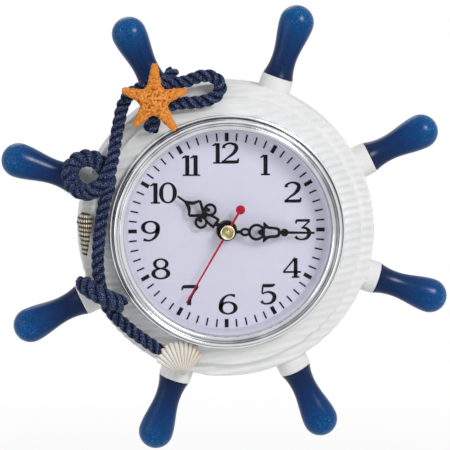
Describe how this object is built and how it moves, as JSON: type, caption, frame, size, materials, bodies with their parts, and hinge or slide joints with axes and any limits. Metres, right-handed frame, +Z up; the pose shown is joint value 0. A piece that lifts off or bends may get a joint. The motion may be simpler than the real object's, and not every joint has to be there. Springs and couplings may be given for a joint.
{
  "type": "ship's wheel wall clock",
  "caption": "Round wall clock in a white ship's wheel with blue turned handles, a laid rope and sea shells; black pierced hands under a domed glass, battery movement and keyhole hanger behind.",
  "frame": {"origin": "centre of the keyhole in the hanger plate, on the wall plane", "axes": "+Z up as the clock hangs, +Y into the wall, so the dial faces -Y and +X is to the viewer's right"},
  "size_m": [0.241, 0.0414, 0.241],
  "materials": {
    "wheel_paint": "chalky white paint over softly ridged grain",
    "handle_paint": "blue gloss paint, darker at the base, thin streaks",
    "polished_metal": "polished",
    "clear_glass": "clear",
    "dial_print": "pale lavender, printed ticks and plain numerals",
    "pan_metal": "pressed sheet, grey paint",
    "gasket_rubber": "matt",
    "case_plastic": "fine spark grain",
    "gear_plastic": "natural acetal",
    "nut_brass": "satin",
    "soft_iron": "stamped",
    "coil_copper": "lacquered winding",
    "board_laminate": "satin",
    "cell_jacket": "plain jacket with steel ends",
    "contact_steel": "bright",
    "black_hand": "satin black",
    "red_hand": "satin red",
    "cap_brass": "polished",
    "zinc_steel": "zinc plated",
    "rope_fibre": "navy twisted fibre",
    "starfish_skin": "grainy orange",
    "scallop_shell": "ribbed cream, peach on one side",
    "turret_shell": "beige with thin brown bands"
  },
  "bodies": {
    "case": {"wheel_ring": "wheel_paint", "handle_1": "handle_paint", "handle_2": "handle_paint", "handle_3": "handle_paint", "handle_4": "handle_paint", "handle_5": "handle_paint", "handle_6": "handle_paint", "handle_7": "handle_paint", "handle_8": "handle_paint", "dial_pan": "pan_metal", "fit_gasket": "gasket_rubber", "dial": "dial_print", "dial_ring": "dial_print", "lens": "clear_glass", "bezel": "polished_metal", "movement_front": "case_plastic", "movement_back": "case_plastic", "bush_washer": "gasket_rubber", "mounting_nut": "nut_brass", "stator": "soft_iron", "motor_coil": "coil_copper", "circuit_board": "board_laminate", "battery": "cell_jacket", "battery_contacts": "contact_steel", "hanger_plate": "zinc_steel", "hanger_screws": "zinc_steel", "rope_main": "rope_fibre", "rope_hitch_upper": "rope_fibre", "rope_hitch_lower": "rope_fibre", "starfish": "starfish_skin", "scallop_shell": "scallop_shell", "spiral_shell": "turret_shell"},
    "minute_works": {"minute_hand": "black_hand", "cannon_pinion": "gear_plastic"},
    "hour_works": {"hour_hand": "black_hand", "hour_wheel": "gear_plastic"},
    "setting_works": {"motion_wheel": "gear_plastic", "setting_knob": "gear_plastic"},
    "seconds_works": {"seconds_hand": "red_hand", "hand_cap": "cap_brass", "seconds_wheel": "gear_plastic"},
    "third_works": {"third_wheel": "gear_plastic"},
    "centre_works": {"centre_wheel": "gear_plastic"},
    "intermediate_works": {"intermediate_wheel": "gear_plastic"},
    "rotor_works": {"rotor": "gear_plastic"}
  },
  "joints": [
    {"name": "minute_turn", "type": "hinge", "parent": "case", "child": "minute_works", "pos_m": [0, -0.015, -0.069], "axis": [0, 1, 0], "continuous": true},
    {"name": "hour_turn", "type": "hinge", "parent": "case", "child": "hour_works", "pos_m": [0, -0.015, -0.069], "axis": [0, 1, 0], "continuous": true},
    {"name": "setting_turn", "type": "hinge", "parent": "case", "child": "setting_works", "pos_m": [0.00792, -0.015, -0.06108], "axis": [0, 1, 0], "continuous": true},
    {"name": "seconds_turn", "type": "hinge", "parent": "case", "child": "seconds_works", "pos_m": [0, -0.015, -0.069], "axis": [0, 1, 0], "continuous": true},
    {"name": "third_turn", "type": "hinge", "parent": "case", "child": "third_works", "pos_m": [-0.0108, -0.015, -0.069], "axis": [0, 1, 0], "continuous": true},
    {"name": "centre_turn", "type": "hinge", "parent": "case", "child": "centre_works", "pos_m": [0, -0.015, -0.069], "axis": [0, 1, 0], "continuous": true},
    {"name": "intermediate_turn", "type": "hinge", "parent": "case", "child": "intermediate_works", "pos_m": [-0.00285, -0.015, -0.05837], "axis": [0, 1, 0], "continuous": true},
    {"name": "rotor_turn", "type": "hinge", "parent": "case", "child": "rotor_works", "pos_m": [-0.01243, -0.015, -0.05489], "axis": [0, 1, 0], "continuous": true}
  ],
  "couplings": [
    {"joint": "hour_turn", "follows": "minute_turn", "ratio": 0.083333},
    {"joint": "setting_turn", "follows": "minute_turn", "ratio": -0.33333},
    {"joint": "third_turn", "follows": "seconds_turn", "ratio": -0.13333},
    {"joint": "centre_turn", "follows": "seconds_turn", "ratio": 0.016667},
    {"joint": "intermediate_turn", "follows": "seconds_turn", "ratio": -4},
    {"joint": "rotor_turn", "follows": "seconds_turn", "ratio": 30}
  ]
}
